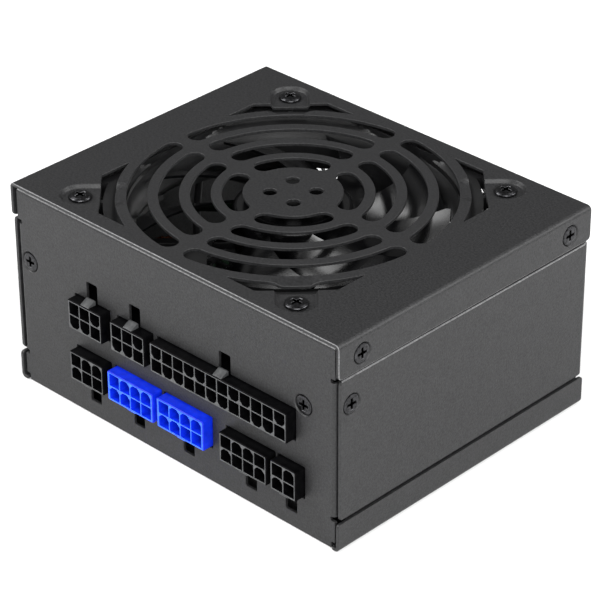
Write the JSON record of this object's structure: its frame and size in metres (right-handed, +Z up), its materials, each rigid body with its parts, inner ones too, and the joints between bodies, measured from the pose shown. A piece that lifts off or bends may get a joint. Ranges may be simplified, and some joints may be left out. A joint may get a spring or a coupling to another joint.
{
  "type": "power supply unit",
  "caption": "Small-form-factor computer power supply: folded steel case, top fan under a round grille, plug-in cable sockets in front, mains inlet and rocker switch behind.",
  "frame": {"origin": "centre of the case's flat underside", "axes": "+Z up towards the fan grille, +X across the case's width, +Y towards the mains inlet wall, so the cable sockets face -Y"},
  "size_m": [0.125, 0.1074, 0.0635],
  "materials": {
    "case_black": "matte black powder coat with a fine grain",
    "screw_steel": "black oxide, worn bright in the drive recess",
    "fan_black": "glossy black moulding",
    "ferrite": "matte grey sintered",
    "bare_steel": "bright plated",
    "copper_winding": "enamelled copper wire",
    "lead_black": "soft black sleeve",
    "socket_black": "satin black nylon",
    "socket_blue": "satin blue nylon",
    "board_black": "black solder mask",
    "board_green": "dark green solder mask",
    "insulator": "milky plastic film",
    "capacitor_sleeve": "shrunk vinyl sleeve, bare aluminium top",
    "heatsink_aluminium": "extruded aluminium"
  },
  "bodies": {
    "case": {"top_cover": "case_black", "bottom_tray": "case_black", "rear_frame": "case_black", "modular_panel": "case_black", "cover_screw_1": "screw_steel", "cover_screw_2": "screw_steel", "cover_screw_3": "screw_steel", "cover_screw_4": "screw_steel", "side_screw_1": "screw_steel", "side_screw_2": "screw_steel", "panel_screw_1": "screw_steel", "panel_screw_2": "screw_steel", "bottom_screw_1": "screw_steel", "bottom_screw_2": "screw_steel", "bottom_screw_3": "screw_steel", "bottom_screw_4": "screw_steel", "fan_screw_1": "screw_steel", "fan_screw_2": "screw_steel", "fan_screw_3": "screw_steel", "fan_screw_4": "screw_steel", "fan_frame": "fan_black", "fan_bearing": "bare_steel", "fan_stator": "copper_winding", "fan_lead": "lead_black", "fan_plug": "socket_black", "peripheral_socket_1": "socket_black", "peripheral_socket_2": "socket_black", "board_socket": "socket_black", "peripheral_socket_3": "socket_black", "graphics_socket_1": "socket_blue", "graphics_socket_2": "socket_blue", "processor_socket_8": "socket_black", "processor_socket_4": "socket_black", "modular_board": "board_black", "board_spacer_1": "bare_steel", "board_spacer_2": "bare_steel", "main_board": "board_green", "board_standoff_1": "bare_steel", "board_standoff_2": "bare_steel", "board_standoff_3": "bare_steel", "board_standoff_4": "bare_steel", "insulating_sheet": "insulator", "ac_inlet": "socket_black", "earth_pin": "bare_steel", "line_pin": "bare_steel", "neutral_pin": "bare_steel", "switch_housing": "socket_black", "bulk_capacitor": "capacitor_sleeve", "output_capacitor_1": "capacitor_sleeve", "output_capacitor_2": "capacitor_sleeve", "transformer_core": "ferrite", "transformer_winding": "copper_winding", "heatsink_primary": "heatsink_aluminium", "heatsink_secondary": "heatsink_aluminium", "toroid_choke": "copper_winding", "emi_choke": "copper_winding"},
    "fan_wheel": {"fan_rotor": "fan_black", "fan_magnet": "ferrite", "fan_shaft": "bare_steel"},
    "rocker": {"switch_rocker": "fan_black"}
  },
  "joints": [
    {"name": "fan_spin", "type": "hinge", "parent": "case", "child": "fan_wheel", "pos_m": [-0.002, 0, 0.054], "axis": [0, 0, 1], "continuous": true},
    {"name": "switch_rock", "type": "hinge", "parent": "case", "child": "rocker", "pos_m": [0.0145, 0.0475, 0.021], "axis": [1, 0, 0], "range_deg": [0, 24]}
  ]
}
